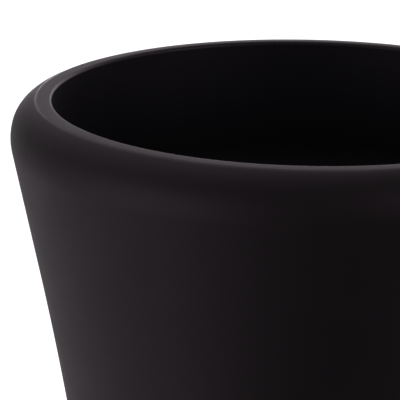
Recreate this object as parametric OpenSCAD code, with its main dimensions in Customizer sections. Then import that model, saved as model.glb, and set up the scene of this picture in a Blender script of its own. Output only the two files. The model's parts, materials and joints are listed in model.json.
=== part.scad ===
// Empty candle jar: a round, tapered stoneware vessel with a thick soft-shouldered rim,
// a matte outer glaze, a satin inner glaze and four stick-on foot pads.
// Millimetres, +Z up. The origin is on the table, under the middle of the jar.

/* [Overall] */
// Height from the table to the top of the rim
height = 95; // [88:1:105]
// Widest diameter, at the shoulder just below the rim
shoulder_d = 100; // [99.5:0.5:101]
// Diameter of the mouth
mouth_d = 86; // [85.4:0.2:86.2]

/* [Rim and shoulder] */
// Rounding of the rim's inner edge
inner_edge_r = 0.6; // [0.5:0.05:0.8]
// Slope that the rim's gently domed land has reached at the crease, in degrees below level
land_slope = 5; // [2:0.5:7]
// Rounding of the crease where the land meets the shoulder
crease_r = 0.8; // [0.5:0.05:1]
// Slope of the shoulder just outside the crease, in degrees below level
crease_slope = 17; // [14:1:20]
// Slope at which the tight upper shoulder hands over to the wider lower one
shoulder_slope = 76; // [60:2:84]
// Radius of the upper part of the shoulder
upper_shoulder_r = 6.1; // [5.5:0.1:6.5]
// Radius of the lower part of the shoulder, down to the straight wall
lower_shoulder_r = 8.9; // [7.5:0.1:10]

/* [Wall] */
// Angle of the straight upper wall, in degrees from upright
wall_angle = 12.1; // [11.5:0.1:13]
// Length of the straight upper wall, below the shoulder
straight_wall = 20; // [20:1:30]
// Radius of the long hollow curve that brings the lower wall towards upright
flare_r = 630; // [400:10:800]
// Thickness of the wall, both glazes included
wall_t = 4; // [3.75:0.25:5]
// Radius of the bend from the upright throat into the tapered inside wall
throat_bend_r = 20; // [15:1:25]
// Thickness of each glaze layer
glaze_t = 0.4; // [0.2:0.05:0.45]

/* [Floor and foot] */
// Thickness of the floor over the recess, inner glaze included
floor_t = 6; // [4:0.5:8]
// Rounding where the inside wall meets the floor
floor_corner_r = 8; // [5:0.5:10]
// Rounding of the outer edge of the foot
foot_edge_r = 3; // [2:0.25:4]
// Width of the flat foot ring
foot_ring_w = 7.5; // [6.5:0.25:9]
// Depth of the shallow recess inside the foot ring
recess_depth = 1.8; // [1:0.1:2.5]
// How far the outer glaze wraps round the foot's edge, in degrees below level
glaze_wrap = 40; // [20:5:60]

/* [Foot pads] */
// Number of foot pads
pad_count = 4; // [3:1:6]
// Diameter of a foot pad
pad_d = 6; // [5:0.25:6.5]
// Thickness of a foot pad
pad_t = 1.2; // [0.8:0.1:2]
// Rounding of a foot pad's lower edge
pad_edge_r = 0.5; // [0.2:0.05:0.6]

/* [Hidden] */
$fn = 180;

clay_colour = [0.20, 0.19, 0.19];
outer_colour = [0.12, 0.11, 0.12];
inner_colour = [0.08, 0.075, 0.08];
pad_colour = [0.30, 0.30, 0.30];

// Angle between two points of a tight curve, and of the wall's long curve
corner_step = 5;
flare_step = 1;

// Every outline below is half a section, in [distance from the axis, height].
// A direction is an angle up from level and outwards, so -90 is straight down.
function towards(angle) = [cos(angle), sin(angle)];
function arc(centre, radius, from, to, step) =
    let (steps = max(1, ceil(abs(to - from) / step)))
    [for (i = [0 : steps]) centre + radius * towards(from + (to - from) * i / steps)];
function joined(stretches) = [for (stretch = stretches) each stretch];
function reversed(points) = [for (i = [len(points) - 1 : -1 : 0]) points[i]];

// Rim and shoulder, worked inwards from the widest point
shoulder_dir = 90 - shoulder_slope;
crease_dir = 90 - crease_slope;
land_dir = 90 - land_slope;
lower_shoulder_x = shoulder_d / 2 - lower_shoulder_r;
upper_shoulder_x = lower_shoulder_x - (upper_shoulder_r - lower_shoulder_r) * cos(shoulder_dir);
crease_x = upper_shoulder_x + (upper_shoulder_r - crease_r) * cos(crease_dir);
inner_edge_c = [mouth_d / 2 + inner_edge_r, height - inner_edge_r];
land_r = crease_r + (crease_x - inner_edge_c[0]) / cos(land_dir);
land_c = [inner_edge_c[0], height - land_r];
crease_c = land_c + (land_r - crease_r) * towards(land_dir);
upper_shoulder_c = crease_c - (upper_shoulder_r - crease_r) * towards(crease_dir);
lower_shoulder_c = upper_shoulder_c
    + (upper_shoulder_r - lower_shoulder_r) * towards(shoulder_dir);

// Outside wall: a straight taper, then a long hollow curve down to the foot's edge
taper_out = towards(-wall_angle);
taper_down = towards(-90 - wall_angle);
taper_end = lower_shoulder_c + lower_shoulder_r * taper_out + straight_wall * taper_down;
flare_c = taper_end + flare_r * taper_out;
glazed_foot_z = pad_t - glaze_t;
foot_dir = asin((flare_c[1] - foot_edge_r - glazed_foot_z) / (flare_r + foot_edge_r));
foot_edge_c = flare_c - (flare_r + foot_edge_r) * towards(foot_dir);

// Inside: the upright throat bends into a wall that runs parallel to the outside
floor_z = pad_t + recess_depth + floor_t;
inside_flare_r = flare_r + wall_t;
floor_corner_dir = asin((flare_c[1] - floor_corner_r - floor_z) / (inside_flare_r + floor_corner_r));
floor_corner_c = flare_c - (inside_flare_r + floor_corner_r) * towards(floor_corner_dir);
throat_bend_x = mouth_d / 2 - throat_bend_r;
throat_bend_rise = (throat_bend_x - lower_shoulder_c[0]) * cos(wall_angle)
    - lower_shoulder_r + wall_t + throat_bend_r;
throat_bend_c = [throat_bend_x, lower_shoulder_c[1] + throat_bend_rise / sin(wall_angle)];

// Foot
ring_outer_r = foot_edge_c[0];
ring_inner_r = ring_outer_r - foot_ring_w;
ring_middle_r = ring_outer_r - foot_ring_w / 2;
recess_corner_r = recess_depth / 2;

// The outer surface, from the rim's inner edge down to a direction on the foot's edge,
// set in by a thickness
function outside(inset, last_dir) = joined([
    arc(inner_edge_c, inner_edge_r - inset, 180, 90, corner_step * 3),
    arc(land_c, land_r - inset, 90, land_dir, corner_step / 2),
    arc(crease_c, crease_r - inset, land_dir, crease_dir, corner_step),
    arc(upper_shoulder_c, upper_shoulder_r - inset, crease_dir, shoulder_dir, corner_step),
    arc(lower_shoulder_c, lower_shoulder_r - inset, shoulder_dir, -wall_angle, corner_step),
    arc(flare_c, -(flare_r + inset), -wall_angle, foot_dir, flare_step),
    arc(foot_edge_c, foot_edge_r - inset, foot_dir, last_dir, corner_step * 2)
]);

// The inner surface, from the top of the throat down to the middle of the floor,
// set out by a thickness
function inside(outset) = joined([
    [[mouth_d / 2 + outset, height - inner_edge_r]],
    arc(throat_bend_c, throat_bend_r + outset, 0, -wall_angle, corner_step / 2),
    arc(flare_c, -(inside_flare_r - outset), -wall_angle, floor_corner_dir, flare_step),
    arc(floor_corner_c, floor_corner_r + outset, floor_corner_dir, -90, corner_step * 2),
    [[0, floor_z - outset]]
]);

// The underside of the fired body: foot ring, then the recess with a rounded corner
underside = joined([
    [[0, pad_t + recess_depth]],
    arc([ring_inner_r - recess_corner_r, pad_t + recess_corner_r], recess_corner_r,
        90, 0, corner_step * 2),
    [[ring_inner_r, pad_t]]
]);

function without_repeats(points) = [
    for (i = [0 : len(points) - 1])
        if (i == 0 || norm(points[i] - points[i - 1]) > 0.001) points[i]
];

module turned(points) {
    rotate_extrude() polygon(without_repeats(points));
}

// Fired stoneware: floor, wall, rim and foot ring in one casting, under its glazes
module jar_body() {
    color(clay_colour)
        turned(joined([outside(glaze_t, -90), reversed(underside), reversed(inside(glaze_t))]));
}

// Matte glaze over the rim, the shoulder and the outside wall, wiped off the foot
module outer_glaze() {
    color(outer_colour)
        turned(joined([outside(0, -glaze_wrap), reversed(outside(glaze_t, -glaze_wrap))]));
}

// Satin glaze that seals the throat, the inside wall and the floor
module inner_glaze() {
    color(inner_colour)
        turned(joined([inside(0), reversed(inside(glaze_t))]));
}

// Soft self-adhesive pads under the foot ring
module foot_pad() {
    turned(joined([
        [[0, 0]],
        arc([pad_d / 2 - pad_edge_r, pad_edge_r], pad_edge_r, -90, 0, corner_step * 3),
        [[pad_d / 2, pad_t], [0, pad_t]]
    ]));
}

module foot_pads() {
    color(pad_colour)
        for (i = [0 : pad_count - 1])
            rotate([0, 0, (i + 0.5) * 360 / pad_count])
                translate([ring_middle_r, 0, 0])
                    foot_pad();
}

jar_body();
outer_glaze();
inner_glaze();
foot_pads();
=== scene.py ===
"""Looks of the empty candle jar: its turned pieces and finishes, a soft studio and the camera."""

import json
import math

import bpy
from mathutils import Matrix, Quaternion, Vector


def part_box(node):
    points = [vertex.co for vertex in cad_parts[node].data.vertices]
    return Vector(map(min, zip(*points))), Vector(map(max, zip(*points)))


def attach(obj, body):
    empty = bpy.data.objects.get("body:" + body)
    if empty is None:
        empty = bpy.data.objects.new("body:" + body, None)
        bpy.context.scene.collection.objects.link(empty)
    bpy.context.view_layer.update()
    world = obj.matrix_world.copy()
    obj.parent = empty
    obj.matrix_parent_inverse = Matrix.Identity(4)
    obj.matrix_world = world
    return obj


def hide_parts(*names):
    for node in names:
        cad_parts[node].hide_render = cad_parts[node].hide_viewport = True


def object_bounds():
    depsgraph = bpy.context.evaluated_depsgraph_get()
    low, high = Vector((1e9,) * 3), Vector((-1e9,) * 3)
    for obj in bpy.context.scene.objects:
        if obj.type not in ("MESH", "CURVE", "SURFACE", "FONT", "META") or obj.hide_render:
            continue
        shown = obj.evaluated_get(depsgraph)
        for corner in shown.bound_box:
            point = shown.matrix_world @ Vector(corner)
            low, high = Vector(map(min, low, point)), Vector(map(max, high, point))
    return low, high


MM = 0.001

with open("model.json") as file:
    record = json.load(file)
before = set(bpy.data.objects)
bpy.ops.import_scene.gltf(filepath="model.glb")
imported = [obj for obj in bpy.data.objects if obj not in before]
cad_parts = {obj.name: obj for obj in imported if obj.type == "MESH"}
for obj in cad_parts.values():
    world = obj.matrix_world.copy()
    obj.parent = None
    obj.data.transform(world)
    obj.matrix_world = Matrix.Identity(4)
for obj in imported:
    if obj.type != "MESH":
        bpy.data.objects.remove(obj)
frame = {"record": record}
cad_low, cad_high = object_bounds()

# ---------------------------------------------------------------- sizes

# From the frame
height = cad_high.z
shoulder_r = (cad_high.x - cad_low.x) / 2
mouth_r = frame["record"]["mounts"][0]["dims"]["r_mm"] * MM
pad_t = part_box("foot_pads")[1].z
glaze_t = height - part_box("jar_body")[1].z
floor_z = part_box("inner_glaze")[0].z + glaze_t

# The rest of the jar's section, as part.scad has it. Directions are in degrees up from level, the
# wall's angle is in degrees from upright, and the glaze's wrap is in degrees below level.
INNER_EDGE_R = 0.6 * MM
CREASE_R = 0.8 * MM
LAND_DIR = 85
CREASE_DIR = 73
SHOULDER_DIR = 14
UPPER_SHOULDER_R = 6.1 * MM
LOWER_SHOULDER_R = 8.9 * MM
WALL_ANGLE = 12.1
STRAIGHT_WALL = 20 * MM
FLARE_R = 630 * MM
WALL_T = 4 * MM
THROAT_BEND_R = 20 * MM
FLOOR_CORNER_R = 8 * MM
FOOT_EDGE_R = 3 * MM
FOOT_RING_W = 7.5 * MM
RECESS_DEPTH = 1.8 * MM
GLAZE_WRAP = 40
PAD_COUNT = 4
PAD_R = 3 * MM
PAD_EDGE_R = 0.5 * MM

# The outer glaze ends on the foot's edge in a feathered lip, this many degrees long, drawn in
# this many steps. Its line sways by waves: how many go round, degrees each way, where they start.
GLAZE_LIP = 12
LIP_STEPS = 10
GLAZE_LINE_WAVES = ((3, 2.0, 0.4), (5, 1.3, 2.1), (8, 0.9, 4.0), (13, 0.6, 1.2))

# How finely the pieces are drawn: degrees between points on each kind of curve, the spacing
# along straight lines, how many times round, and the angle at which an edge looks sharp
TIGHT_STEP = 9
CORNER_STEP = 4
ROUND_STEP = 2
BEND_STEP = 1
FLARE_STEP = 0.2
WALL_SPACING = 1.5 * MM
FLOOR_SPACING = 2 * MM
PAD_SPACING = 0.5 * MM
TURNS = 384
PAD_TURNS = 64
SHARP_ANGLE = math.radians(35)
# Points closer together than this are one point
SAME_POINT = 1e-6


# ---------------------------------------------------------------- half sections

def towards(angle):
    """A unit step in the section, at an angle up from level and outwards."""
    return Vector((math.cos(math.radians(angle)), math.sin(math.radians(angle))))


def sweep(centre, radius, start, end, steps):
    """Points along an arc, from one direction to another, in a set number of steps."""
    return [centre + radius * towards(start + (end - start) * i / steps) for i in range(steps + 1)]


def arc(centre, radius, start, end, step):
    """Points along an arc, from one direction to another, no more than a step apart."""
    return sweep(centre, radius, start, end, max(1, math.ceil(abs(end - start) / step)))


def line(start, end, spacing):
    """Points between two ends, without the ends."""
    steps = max(1, math.ceil((end - start).length / spacing))
    return [start.lerp(end, i / steps) for i in range(1, steps)]


# Rim and shoulder, worked inwards from the widest point
radius_change = UPPER_SHOULDER_R - LOWER_SHOULDER_R
lower_shoulder_x = shoulder_r - LOWER_SHOULDER_R
upper_shoulder_x = lower_shoulder_x - radius_change * towards(SHOULDER_DIR).x
crease_x = upper_shoulder_x + (UPPER_SHOULDER_R - CREASE_R) * towards(CREASE_DIR).x
inner_edge_c = Vector((mouth_r + INNER_EDGE_R, height - INNER_EDGE_R))
land_r = CREASE_R + (crease_x - inner_edge_c.x) / towards(LAND_DIR).x
land_c = Vector((inner_edge_c.x, height - land_r))
crease_c = land_c + (land_r - CREASE_R) * towards(LAND_DIR)
upper_shoulder_c = crease_c - (UPPER_SHOULDER_R - CREASE_R) * towards(CREASE_DIR)
lower_shoulder_c = upper_shoulder_c + radius_change * towards(SHOULDER_DIR)

# Outside wall: a straight taper, then a long hollow curve
taper_out = towards(-WALL_ANGLE)
taper_down = towards(-90 - WALL_ANGLE)
taper_end = lower_shoulder_c + LOWER_SHOULDER_R * taper_out + STRAIGHT_WALL * taper_down
flare_c = taper_end + FLARE_R * taper_out


def meeting(flare_r, corner_r, level):
    """The direction from flare_c at which its curve meets a corner that reaches down to a level."""
    return math.degrees(math.asin((flare_c.y - corner_r - level) / (flare_r + corner_r)))


glazed_foot_z = pad_t - glaze_t
foot_dir = meeting(FLARE_R, FOOT_EDGE_R, glazed_foot_z)
foot_edge_c = flare_c - (FLARE_R + FOOT_EDGE_R) * towards(foot_dir)

# Inside: the upright throat bends into a wall that runs parallel to the outside
inside_flare_r = FLARE_R + WALL_T
floor_corner_dir = meeting(inside_flare_r, FLOOR_CORNER_R, floor_z)
floor_corner_c = flare_c - (inside_flare_r + FLOOR_CORNER_R) * towards(floor_corner_dir)
throat_bend_x = mouth_r - THROAT_BEND_R
bend_inset = LOWER_SHOULDER_R - WALL_T - THROAT_BEND_R
throat_rise = (throat_bend_x - lower_shoulder_c.x) * taper_out.x - bend_inset
throat_bend_c = Vector((throat_bend_x, lower_shoulder_c.y - throat_rise / taper_out.y))

# Foot
ring_outer_r = foot_edge_c.x
ring_inner_r = ring_outer_r - FOOT_RING_W
ring_middle_r = ring_outer_r - FOOT_RING_W / 2
recess_corner_r = RECESS_DEPTH / 2


def outside(inset):
    """The outer surface, from the rim's inner edge down to the top of the foot's rounded edge."""
    rim = arc(inner_edge_c, INNER_EDGE_R - inset, 180, 90, TIGHT_STEP)
    land = arc(land_c, land_r - inset, 90, LAND_DIR, BEND_STEP)
    crease = arc(crease_c, CREASE_R - inset, LAND_DIR, CREASE_DIR, ROUND_STEP)
    upper = arc(upper_shoulder_c, UPPER_SHOULDER_R - inset, CREASE_DIR, SHOULDER_DIR, ROUND_STEP)
    lower = arc(lower_shoulder_c, LOWER_SHOULDER_R - inset, SHOULDER_DIR, -WALL_ANGLE, ROUND_STEP)
    lower_wall = arc(flare_c, -(FLARE_R + inset), -WALL_ANGLE, foot_dir, FLARE_STEP)
    wall = line(lower[-1], lower_wall[0], WALL_SPACING)
    return rim + land + crease + upper + lower + wall + lower_wall


def inside(outset):
    """The inner surface, from the top of the throat down to the middle of the floor."""
    top = Vector((mouth_r + outset, height - INNER_EDGE_R))
    middle = Vector((0, floor_z - outset))
    bend = arc(throat_bend_c, THROAT_BEND_R + outset, 0, -WALL_ANGLE, BEND_STEP)
    wall = arc(flare_c, -(inside_flare_r - outset), -WALL_ANGLE, floor_corner_dir, FLARE_STEP)
    corner = arc(floor_corner_c, FLOOR_CORNER_R + outset, floor_corner_dir, -90, CORNER_STEP)
    throat = line(top, bend[0], WALL_SPACING)
    taper = line(bend[-1], wall[0], WALL_SPACING)
    floor = line(corner[-1], middle, FLOOR_SPACING)
    return [top] + throat + bend + taper + wall + corner + floor + [middle]


def underside():
    """The underside of the fired body, from the middle of the recess out to the foot ring."""
    middle = Vector((0, pad_t + RECESS_DEPTH))
    corner_c = Vector((ring_inner_r - recess_corner_r, pad_t + recess_corner_r))
    corner = arc(corner_c, recess_corner_r, 90, 0, TIGHT_STEP)
    edge = Vector((ring_inner_r, pad_t))
    return [middle] + line(middle, corner[0], FLOOR_SPACING) + corner + [edge]


# Each piece's whole section, at a turn round the jar in radians. Only the outer glaze's varies.

def body_section(turn):
    """The fired body."""
    foot = arc(foot_edge_c, FOOT_EDGE_R - glaze_t, foot_dir, -90, CORNER_STEP)
    return outside(glaze_t) + foot + underside()[::-1] + inside(glaze_t)[::-1]


def outer_section(turn):
    """The outer glaze, whose lip ends at an uneven height. Its two sides share the lip's tip."""
    sway = sum(size * math.sin(count * turn + start) for count, size, start in GLAZE_LINE_WAVES)
    last = -GLAZE_WRAP + sway
    lip_start = last + GLAZE_LIP
    front = outside(0) + sweep(foot_edge_c, FOOT_EDGE_R, foot_dir, lip_start, LIP_STEPS)
    for i in range(1, LIP_STEPS + 1):
        share_left = math.sqrt(1 - (i / LIP_STEPS) ** 2)
        radius = FOOT_EDGE_R - glaze_t * (1 - share_left)
        front.append(foot_edge_c + radius * towards(lip_start - GLAZE_LIP * i / LIP_STEPS))
    under = sweep(foot_edge_c, FOOT_EDGE_R - glaze_t, foot_dir, last, 2 * LIP_STEPS)
    back = outside(glaze_t) + under[:-1]
    return front + back[::-1]


def inner_section(turn):
    """The inner glaze."""
    return inside(0) + inside(glaze_t)[::-1]


def pad_section(turn):
    """A foot pad: a flat disc with a rounded lower edge."""
    edge = arc(Vector((PAD_R - PAD_EDGE_R, PAD_EDGE_R)), PAD_EDGE_R, -90, 0, TIGHT_STEP)
    middle = Vector((0, 0))
    face = line(middle, edge[0], PAD_SPACING)
    return [middle] + face + edge + [Vector((PAD_R, pad_t)), Vector((0, pad_t))]


# ---------------------------------------------------------------- turned pieces

def without_repeats(outline):
    """The outline without a point that sits on the one before it."""
    clear = [outline[0]]
    for point in outline[1:]:
        if (point - clear[-1]).length > SAME_POINT:
            clear.append(point)
    if (clear[-1] - clear[0]).length < SAME_POINT:
        clear.pop()
    return clear


def facing_out(outline):
    """The outline in the order that turns into faces which point out of the piece."""
    pairs = zip(outline, outline[1:] + outline[:1])
    doubled_area = sum(a.x * b.y - b.x * a.y for a, b in pairs)
    return outline[::-1] if doubled_area > 0 else outline


def added(name, data):
    """A new object in the scene."""
    made = bpy.data.objects.new(name, data)
    bpy.context.scene.collection.objects.link(made)
    return made


def turned(name, section, turns=TURNS, at=(0, 0)):
    """A closed piece: a section, as [radius, height] points, turned about an upright axis."""
    turn_step = 2 * math.pi / turns
    outlines = [facing_out(without_repeats(section(i * turn_step))) for i in range(turns)]
    points, rows = [], []
    for k, (radius, z) in enumerate(outlines[0]):
        if radius < SAME_POINT:
            rows.append([len(points)] * turns)
            points.append((at[0], at[1], z))
            continue
        rows.append(list(range(len(points), len(points) + turns)))
        for i, outline in enumerate(outlines):
            reach, rise = outline[k]
            angle = i * turn_step
            points.append((at[0] + reach * math.cos(angle), at[1] + reach * math.sin(angle), rise))
    faces = []
    for a, b in zip(rows, rows[1:] + rows[:1]):
        for i in range(turns):
            j = (i + 1) % turns
            face = list(dict.fromkeys((a[i], b[i], b[j], a[j])))
            if len(face) > 2:
                faces.append(face)
    mesh = bpy.data.meshes.new(name)
    mesh.from_pydata(points, [], faces)
    mesh.validate()
    mesh.shade_smooth()
    mesh.set_sharp_from_angle(angle=SHARP_ANGLE)
    return added(name, mesh)


# ---------------------------------------------------------------- nodes

# The sockets of a Mix node that is set to colours
MIX_SHARE, MIX_A, MIX_B, MIX_RESULT = 0, 6, 7, 2


def put(tree, socket, value):
    """Links a socket to another node's output, or sets it to a number, vector or colour."""
    if isinstance(value, bpy.types.NodeSocket):
        tree.links.new(value, socket)
    else:
        socket.default_value = value


def maths(tree, kind, a, b=0.0):
    """A number worked out from one or two others by a Math node's operation, its kind."""
    node = tree.nodes.new("ShaderNodeMath")
    node.operation = kind
    for socket, value in zip(node.inputs, (a, b)):
        put(tree, socket, value)
    return node.outputs["Value"]


def mixed(tree, share, a, b):
    """A colour between two colours."""
    node = tree.nodes.new("ShaderNodeMix")
    node.data_type = "RGBA"
    put(tree, node.inputs[MIX_SHARE], share)
    put(tree, node.inputs[MIX_A], (*a, 1) if isinstance(a, tuple) else a)
    put(tree, node.inputs[MIX_B], (*b, 1) if isinstance(b, tuple) else b)
    return node.outputs[MIX_RESULT]


# ---------------------------------------------------------------- materials

# Most of a noise's values lie between these two
NOISE_LOW = 0.3
NOISE_HIGH = 0.7


class Surface:
    """A procedural material: short names for the nodes that every finish here is made of."""

    def __init__(self, name, ior=1.5, tint=(1, 1, 1)):
        self.made = bpy.data.materials.new(name)
        self.made.use_nodes = True
        self.tree = self.made.node_tree
        self.shader = self.tree.nodes["Principled BSDF"]
        self.shader.inputs["IOR"].default_value = ior
        self.shader.inputs["Specular Tint"].default_value = (*tint, 1)
        self.place = self.tree.nodes.new("ShaderNodeTexCoord").outputs["Object"]

    def noise(self, size, detail, rough, place=None):
        """Noise from 0 to 1, with grains about as large as a size in metres."""
        node = self.tree.nodes.new("ShaderNodeTexNoise")
        put(self.tree, node.inputs["Vector"], place or self.place)
        node.inputs["Scale"].default_value = 1 / size
        node.inputs["Detail"].default_value = detail
        node.inputs["Roughness"].default_value = rough
        return node.outputs["Fac"]

    def rings(self, across, upwards):
        """Noise drawn out round the jar, with so many grains to a metre across and upwards."""
        node = self.tree.nodes.new("ShaderNodeMapping")
        put(self.tree, node.inputs["Vector"], self.place)
        node.inputs["Scale"].default_value = (across, across, upwards)
        return self.noise(size=1.0, detail=2, rough=0.5, place=node.outputs["Vector"])

    def maths(self, kind, a, b=0.0):
        """A number worked out in this material."""
        return maths(self.tree, kind, a, b)

    def mixed(self, share, a, b):
        """A colour mixed in this material."""
        return mixed(self.tree, share, a, b)

    def mapped(self, value, low, high, to_low, to_high, smooth=False):
        """A value's run from low to high, mapped to another run and held at its ends."""
        node = self.tree.nodes.new("ShaderNodeMapRange")
        node.interpolation_type = "SMOOTHSTEP" if smooth else "LINEAR"
        for socket, number in zip(node.inputs, (value, low, high, to_low, to_high)):
            put(self.tree, socket, number)
        return node.outputs["Result"]

    def ranged(self, noise, low, high):
        """A noise mapped so that most of its values run from low to high."""
        return self.mapped(noise, NOISE_LOW, NOISE_HIGH, low, high)

    def coordinates(self):
        """The place's x, y and z, in metres."""
        node = self.tree.nodes.new("ShaderNodeSeparateXYZ")
        put(self.tree, node.inputs["Vector"], self.place)
        return node.outputs

    def from_axis(self, x, y):
        """How far x and y are from the jar's axis."""
        squares = self.maths("ADD", self.maths("MULTIPLY", x, x), self.maths("MULTIPLY", y, y))
        return self.maths("SQRT", squares)

    def colour(self, value):
        """Gives the surface its colour."""
        put(self.tree, self.shader.inputs["Base Color"], value)

    def roughness(self, value):
        """Gives the surface its roughness."""
        put(self.tree, self.shader.inputs["Roughness"], value)

    def bump(self, *layers):
        """Relief from several layers, each a height from 0 to 1 and its full depth in metres."""
        normal = None
        for value, depth in layers:
            node = self.tree.nodes.new("ShaderNodeBump")
            node.inputs["Distance"].default_value = depth
            put(self.tree, node.inputs["Height"], value)
            if normal:
                put(self.tree, node.inputs["Normal"], normal)
            normal = node.outputs["Normal"]
        put(self.tree, self.shader.inputs["Normal"], normal)


# Matte outer glaze
MATTE_BLACK = (0.0132, 0.0106, 0.0128)
MATTE_CLOUDS = (0.0100, 0.0082, 0.0098)
# The third colour is lighter: partly thin worn glaze, partly a painted highlight on the rim's edges
MATTE_WORN_HIGHLIGHT = (0.0270, 0.0240, 0.0258)
MATTE_SHEEN = (1.0, 0.88, 0.96)
MATTE_ROUGHNESS = (0.47, 0.53)
# It is worn all round on the rim's inner edge, and on a ridge this far outside the crease's centre,
# and lighter there: partly thin worn glaze, partly a painted highlight. The wear and the painted
# highlight are full as far as the first reach from the mouth or the ridge, and gone at the second.
RIDGE_OUT = 0.4 * MM
EDGE_REACH = (0.25 * MM, 0.5 * MM)
RIDGE_REACH = (0.05 * MM, 0.35 * MM)
RIDGE_WEAR_AND_HIGHLIGHT = 0.85
# Going up, the wear and its painted highlight start at the first of these depths below the rim's
# top and are full at the second. They come in patches, and the wear takes this much off the
# roughness.
WEAR_AND_HIGHLIGHT_DEPTHS = (1.2 * MM, 0.4 * MM)
WEAR_AND_HIGHLIGHT_PATCHES = (0.65, 1.0)
WEAR_SMOOTHS = 0.24

# Satin inner glaze, painted lighter going up as painted light near the rim and darker deeper in as
# painted shade, from one depth below the rim's top to another
SATIN_SHADED_DEEP = (0.0095, 0.0080, 0.0100)
SATIN_LIT_TOP = (0.0200, 0.0185, 0.0240)
SATIN_CLOUDS = (0.0100, 0.0086, 0.0118)
SATIN_CLOUDINESS = 0.3
SATIN_SHEEN = (0.97, 0.93, 1.0)
SATIN_ROUGHNESS = (0.41, 0.46)
SATIN_PAINTED_LIGHT_DEPTHS = (28 * MM, 4 * MM)

# Both glazes' roughness varies by this much from cloud to cloud
CLOUD_ROUGHNESS = (-0.02, 0.02)

# Bare clay on the foot. Specks show where a noise passes up through one pair of values, and pits
# where one passes down through the other.
CLAY_DARK = (0.030, 0.027, 0.026)
CLAY_LIGHT = (0.046, 0.042, 0.040)
CLAY_SPECKS = (0.16, 0.15, 0.14)
SPECKS_BETWEEN = (0.66, 0.74)
PITS_BETWEEN = (0.27, 0.33)
CLAY_ROUGHNESS = (0.78, 0.92)

# Silicone of the foot pads
SILICONE_CLEAN = (0.042, 0.042, 0.042)
SILICONE_DUSTY = (0.062, 0.062, 0.060)
SILICONE_IOR = 1.41
SILICONE_ROUGHNESS = (0.42, 0.6)


def matte_glaze():
    """Matte black glaze: fine grain, faint clouds, thinner and smoother where it is worn, and
    lighter there as a painted highlight.
    """
    s = Surface("matte_glaze", tint=MATTE_SHEEN)
    grain = s.noise(size=0.35 * MM, detail=4, rough=0.6)
    clouds = s.noise(size=9 * MM, detail=3, rough=0.55)
    rings = s.rings(across=14, upwards=260)
    x, y, z = s.coordinates()
    radius = s.from_axis(x, y)
    full, gone = EDGE_REACH
    edge = s.mapped(radius, mouth_r + full, mouth_r + gone, 1.0, 0.0, smooth=True)
    ridge_off = s.maths("ABSOLUTE", s.maths("SUBTRACT", radius, crease_c.x + RIDGE_OUT))
    ridge = s.mapped(ridge_off, *RIDGE_REACH, RIDGE_WEAR_AND_HIGHLIGHT, 0.0, smooth=True)
    starts, full = WEAR_AND_HIGHLIGHT_DEPTHS
    at_top = s.mapped(z, height - starts, height - full, 0.0, 1.0, smooth=True)
    patchy = s.ranged(s.noise(size=2.5 * MM, detail=3, rough=0.6), *WEAR_AND_HIGHLIGHT_PATCHES)
    near_an_edge = s.maths("MAXIMUM", edge, ridge)
    wear_and_highlight = s.maths("MULTIPLY", near_an_edge, s.maths("MULTIPLY", at_top, patchy))
    # Lighter on the rim's inner edge and ridge: partly worn glaze, partly a painted highlight
    s.colour(s.mixed(wear_and_highlight, s.mixed(clouds, MATTE_CLOUDS, MATTE_BLACK), MATTE_WORN_HIGHLIGHT))
    unworn = s.maths("ADD", s.ranged(grain, *MATTE_ROUGHNESS), s.ranged(clouds, *CLOUD_ROUGHNESS))
    s.roughness(s.maths("SUBTRACT", unworn, s.maths("MULTIPLY", wear_and_highlight, WEAR_SMOOTHS)))
    s.bump((rings, 0.02 * MM), (clouds, 0.02 * MM), (grain, 0.004 * MM))
    return s.made


def satin_glaze():
    """Satin black glaze inside the jar, painted lighter towards the rim and darker deeper in as
    painted light and shade, with faint rings round it.
    """
    s = Surface("satin_glaze", tint=SATIN_SHEEN)
    grain = s.noise(size=0.5 * MM, detail=3, rough=0.55)
    clouds = s.noise(size=12 * MM, detail=3, rough=0.5)
    rings = s.rings(across=10, upwards=300)
    z = s.coordinates()["Z"]
    starts, full = SATIN_PAINTED_LIGHT_DEPTHS
    # Painted light and shade: the colour is lighter near the rim and darker deeper inside
    painted_light_share = s.mapped(z, height - starts, height - full, 0.0, 1.0, smooth=True)
    shade = s.mixed(painted_light_share, SATIN_SHADED_DEEP, SATIN_LIT_TOP)
    s.colour(s.mixed(s.maths("MULTIPLY", clouds, SATIN_CLOUDINESS), shade, SATIN_CLOUDS))
    rough = s.maths("ADD", s.ranged(grain, *SATIN_ROUGHNESS), s.ranged(clouds, *CLOUD_ROUGHNESS))
    s.roughness(rough)
    s.bump((rings, 0.03 * MM), (grain, 0.003 * MM))
    return s.made


def bare_clay():
    """Unglazed black stoneware on the foot: sandy grain, lighter grog specks and a few pits."""
    s = Surface("bare_clay")
    sand = s.noise(size=0.25 * MM, detail=5, rough=0.65)
    speckle = s.noise(size=0.55 * MM, detail=1, rough=0.4)
    specks = s.mapped(speckle, *SPECKS_BETWEEN, 0.0, 1.0, smooth=True)
    pitting = s.noise(size=1.1 * MM, detail=1, rough=0.4)
    pits = s.mapped(pitting, *PITS_BETWEEN, 0.0, 1.0, smooth=True)
    clouds = s.noise(size=11 * MM, detail=3, rough=0.6)
    s.colour(s.mixed(specks, s.mixed(clouds, CLAY_DARK, CLAY_LIGHT), CLAY_SPECKS))
    s.roughness(s.ranged(sand, *CLAY_ROUGHNESS))
    s.bump((clouds, 0.03 * MM), (pits, 0.08 * MM), (sand, 0.03 * MM))
    return s.made


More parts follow.
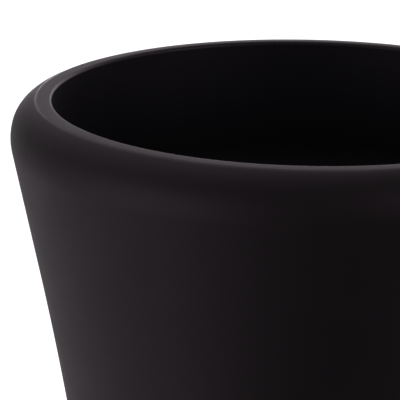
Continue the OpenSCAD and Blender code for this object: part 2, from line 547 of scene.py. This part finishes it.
def silicone():
    """Grey silicone of the foot pads: soft sheen, a little dust and a fine moulded grain."""
    s = Surface("silicone", ior=SILICONE_IOR)
    dust = s.noise(size=0.8 * MM, detail=4, rough=0.65)
    grain = s.noise(size=0.12 * MM, detail=2, rough=0.5)
    s.colour(s.mixed(dust, SILICONE_CLEAN, SILICONE_DUSTY))
    s.roughness(s.ranged(dust, *SILICONE_ROUGHNESS))
    s.bump((grain, 0.004 * MM))
    return s.made


# ---------------------------------------------------------------- the pieces

def finished(piece, look, node):
    """Gives a piece its material and its body, and hides the CAD node that it stands for."""
    piece.data.materials.append(look)
    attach(piece, "root")
    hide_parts(node)


finished(turned("stoneware_body", body_section), bare_clay(), "jar_body")
finished(turned("matte_outer_glaze", outer_section), matte_glaze(), "outer_glaze")
finished(turned("satin_inner_glaze", inner_section), satin_glaze(), "inner_glaze")

pad_look = silicone()
for i in range(PAD_COUNT):
    angle = math.radians((i + 0.5) * 360 / PAD_COUNT)
    pad_at = (ring_middle_r * math.cos(angle), ring_middle_r * math.sin(angle))
    pad = turned(f"foot_pad_{i + 1}", pad_section, PAD_TURNS, pad_at)
    finished(pad, pad_look, "foot_pads")

# ---------------------------------------------------------------- camera

# A long lens in front of the jar and a little above it. It looks to the left of the rim's middle
# and below it, by these parts of the distance.
LENS = 225.0
SENSOR = 36.0
DISTANCE = 8.438 * shoulder_r
ELEVATION = math.radians(13.8)
ROLL = math.radians(1.275)
AIM_LEFT = 0.0430
AIM_DOWN = 0.0410

rim_middle = Vector((0, 0, height))
eye = rim_middle + DISTANCE * Vector((0, -math.cos(ELEVATION), math.sin(ELEVATION)))
to_rim = rim_middle - eye
at_rim = to_rim.to_track_quat("-Z", "Y") @ Quaternion((0, 0, 1), ROLL)
aim = at_rim @ Vector((-AIM_LEFT, -AIM_DOWN, -1))
camera_data = bpy.data.cameras.new("camera")
camera_data.lens = LENS
camera_data.sensor_width = SENSOR
camera = added("camera", camera_data)
camera.location = eye
camera.rotation_mode = "QUATERNION"
camera.rotation_quaternion = to_rim.rotation_difference(aim) @ at_rim
bpy.context.scene.camera = camera

# ---------------------------------------------------------------- studio

FLOOR_REACH = 6.0
PAPER = (0.9, 0.9, 0.9)
LAMP_STRENGTH = 3.7
LAMP_WIDTH = math.radians(80)
# Soft lights round the jar. Each has its direction, in degrees left of straight behind and up,
# its strength, and its spread: how many degrees off its middle it is half as bright.
SOFT_LIGHTS = (
    (-20, -10, 1.0, 35),
    (8, -4, 3.0, 5),
    (3, 13, 0.3, 10),
    (60, 60, 0.3, 30),
    (60, -30, 0.35, 20),
    (120, -10, 0.7, 25),
    (-120, 15, 0.5, 20),
)
ROOM_GLOW = 0.07
LIGHT_COLOUR = (1.03, 0.95, 1.01)
BACKDROP_COLOUR = (1, 1, 1)

floor_mesh = bpy.data.meshes.new("floor")
corners = [(-1, -1), (1, -1), (1, 1), (-1, 1)]
floor_points = [(FLOOR_REACH * x, FLOOR_REACH * y, 0) for x, y in corners]
floor_mesh.from_pydata(floor_points, [], [(0, 1, 2, 3)])
floor = added("floor", floor_mesh)
paper = bpy.data.materials.new("paper")
paper.use_nodes = True
paper_shader = paper.node_tree.nodes["Principled BSDF"]
paper_shader.inputs["Base Color"].default_value = (*PAPER, 1)
paper_shader.inputs["Roughness"].default_value = 1.0
floor.data.materials.append(paper)
# The floor's own light on the jar is part of SOFT_LIGHTS, so it isn't counted twice
floor.visible_diffuse = False
floor.visible_glossy = False

# A broad lamp overhead that lights only the floor, and leaves the jar's soft shadow on it
lit_floor = bpy.data.collections.new("lit_floor")
lit_floor.objects.link(floor)
lamp_data = bpy.data.lights.new("floor_lamp", "SUN")
lamp_data.energy = LAMP_STRENGTH
lamp_data.angle = LAMP_WIDTH
lamp = added("floor_lamp", lamp_data)
lamp.light_linking.receiver_collection = lit_floor


def soft_light(tree, way, turn, rise, strength, spread):
    """How bright one of the soft lights is, towards a way out from the jar."""
    turn, rise, spread = (math.radians(angle) for angle in (turn, rise, spread))
    tightness = math.log(2) / (1 - math.cos(spread))
    level = math.cos(rise)
    dot = tree.nodes.new("ShaderNodeVectorMath")
    dot.operation = "DOT_PRODUCT"
    put(tree, dot.inputs[0], way)
    put(tree, dot.inputs[1], (-math.sin(turn) * level, math.cos(turn) * level, math.sin(rise)))
    off_centre = maths(tree, "SUBTRACT", dot.outputs["Value"], 1.0)
    spot = maths(tree, "EXPONENT", maths(tree, "MULTIPLY", off_centre, tightness))
    return maths(tree, "MULTIPLY", spot, strength)


def studio_world():
    """The soft lights, painted by direction, and a plain white backdrop that lights nothing."""
    world = bpy.data.worlds.new("studio")
    world.use_nodes = True
    tree = world.node_tree
    way = tree.nodes.new("ShaderNodeTexCoord").outputs["Generated"]
    glow = ROOM_GLOW
    for light in SOFT_LIGHTS:
        glow = maths(tree, "ADD", soft_light(tree, way, *light), glow)
    seen = tree.nodes.new("ShaderNodeLightPath").outputs["Is Camera Ray"]
    background = tree.nodes["Background"]
    put(tree, background.inputs["Color"], mixed(tree, seen, LIGHT_COLOUR, BACKDROP_COLOUR))
    put(tree, background.inputs["Strength"], maths(tree, "MAXIMUM", seen, glow))
    return world


bpy.context.scene.world = studio_world()
bpy.context.scene.view_settings.view_transform = "Standard"
